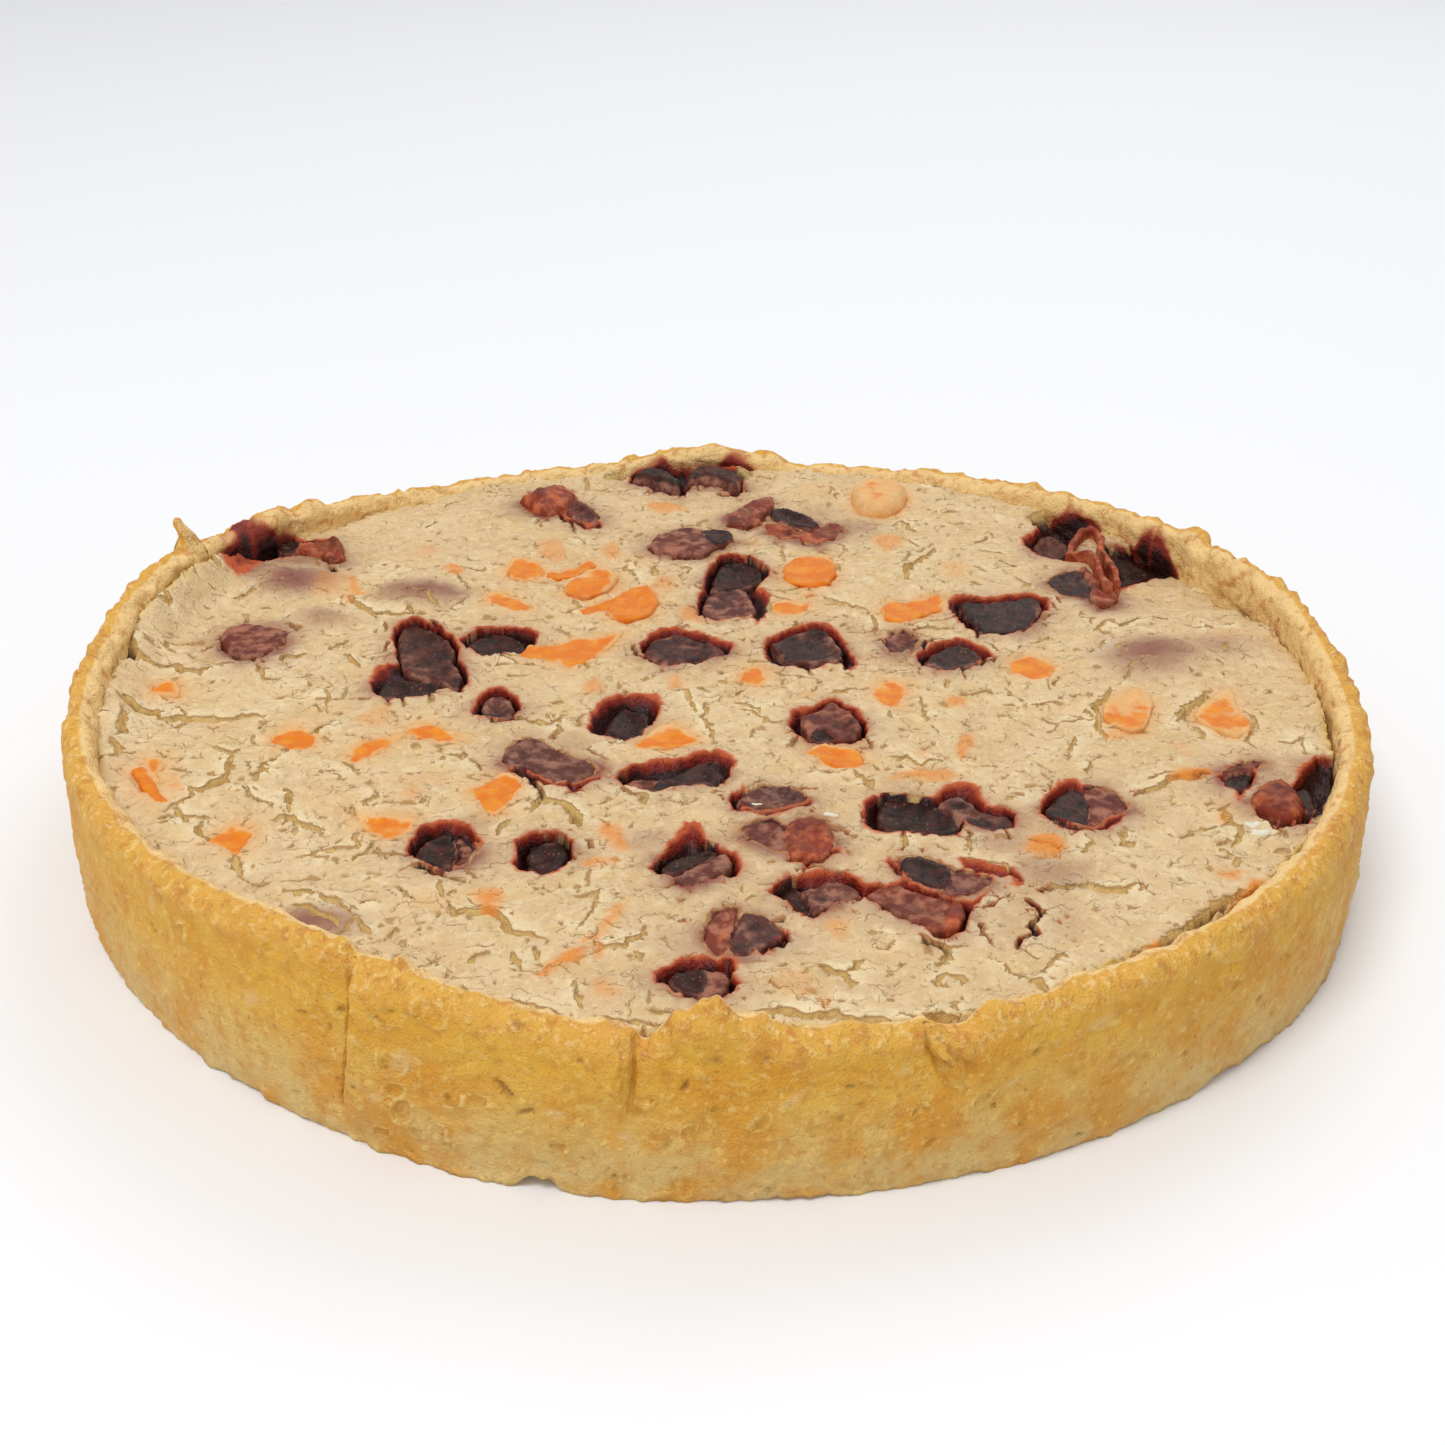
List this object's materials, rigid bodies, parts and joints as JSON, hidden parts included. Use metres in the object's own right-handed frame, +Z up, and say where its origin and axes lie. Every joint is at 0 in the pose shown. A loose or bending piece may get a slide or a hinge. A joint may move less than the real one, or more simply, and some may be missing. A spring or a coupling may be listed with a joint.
{
  "type": "vegetable quiche",
  "caption": "Whole round quiche in a free-standing shortcrust shell, with a cracked pale filling and diced beetroot and carrot set in its top.",
  "frame": {"origin": "middle of the flat underside, where the quiche rests on its plate", "axes": "+Z up; -Y is the side the picture was taken from, with the pointed tab of dough on the rim; +X is to the right in the picture"},
  "size_m": [0.2575, 0.2587, 0.0435],
  "materials": {
    "shortcrust": "baked golden shortcrust pastry, dry and faintly granular, deeper gold along the rim",
    "filling": "dry, pale beige set filling, finely granular and covered in short cracks, stained purple and orange round the vegetables",
    "beetroot": "baked beetroot, dark maroon to brown-grey, wrinkled, with a wet gloss in places",
    "carrot": "baked carrot, orange, softly glossy, paler where the filling thinly covers it"
  },
  "bodies": {
    "root": {"crust": "shortcrust", "filling": "filling", "beetroot_01": "beetroot", "beetroot_02": "beetroot", "beetroot_03": "beetroot", "beetroot_04": "beetroot", "beetroot_05": "beetroot", "beetroot_06": "beetroot", "beetroot_07": "beetroot", "beetroot_08": "beetroot", "beetroot_09": "beetroot", "beetroot_10": "beetroot", "beetroot_11": "beetroot", "beetroot_12": "beetroot", "beetroot_13": "beetroot", "beetroot_14": "beetroot", "beetroot_15": "beetroot", "beetroot_16": "beetroot", "beetroot_17": "beetroot", "beetroot_18": "beetroot", "beetroot_19": "beetroot", "beetroot_20": "beetroot", "beetroot_21": "beetroot", "beetroot_22": "beetroot", "beetroot_23": "beetroot", "beetroot_24": "beetroot", "beetroot_25": "beetroot", "beetroot_26": "beetroot", "beetroot_27": "beetroot", "beetroot_28": "beetroot", "beetroot_29": "beetroot", "beetroot_30": "beetroot", "beetroot_31": "beetroot", "beetroot_32": "beetroot", "beetroot_33": "beetroot", "beetroot_34": "beetroot", "beetroot_35": "beetroot", "carrot_01": "carrot", "carrot_02": "carrot", "carrot_03": "carrot", "carrot_04": "carrot", "carrot_05": "carrot", "carrot_06": "carrot", "carrot_07": "carrot", "carrot_08": "carrot", "carrot_09": "carrot", "carrot_10": "carrot", "carrot_11": "carrot", "carrot_12": "carrot", "carrot_13": "carrot", "carrot_14": "carrot", "carrot_15": "carrot", "carrot_16": "carrot", "carrot_17": "carrot", "carrot_18": "carrot", "carrot_19": "carrot", "carrot_20": "carrot", "carrot_21": "carrot", "carrot_22": "carrot", "carrot_23": "carrot"}
  },
  "joints": []
}
